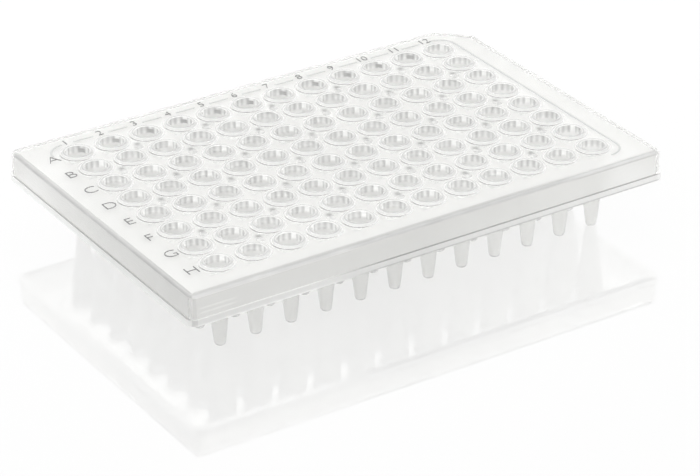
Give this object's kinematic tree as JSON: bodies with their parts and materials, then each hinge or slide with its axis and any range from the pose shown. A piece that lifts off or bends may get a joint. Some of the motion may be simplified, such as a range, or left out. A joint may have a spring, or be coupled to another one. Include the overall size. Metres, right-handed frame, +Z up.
{
  "type": "well plate",
  "caption": "Clear semi-skirted PCR well plate: flat deck with raised well rims, conical tubes below, a short skirt with a lip and one cut corner.",
  "frame": {"origin": "on the floor under the middle of the 8 by 12 well grid, which is the middle of the plate's box; the plate stands on the tips of its tubes", "axes": "+X along the rows from column 1 to column 12, +Y from row H to row A, +Z up out of the wells"},
  "size_m": [0.1244, 0.0838, 0.0205],
  "materials": {
    "clear_polypropylene": "clear, glossy, moulded polypropylene"
  },
  "bodies": {
    "root": {"well_plate": "clear_polypropylene"}
  },
  "joints": []
}
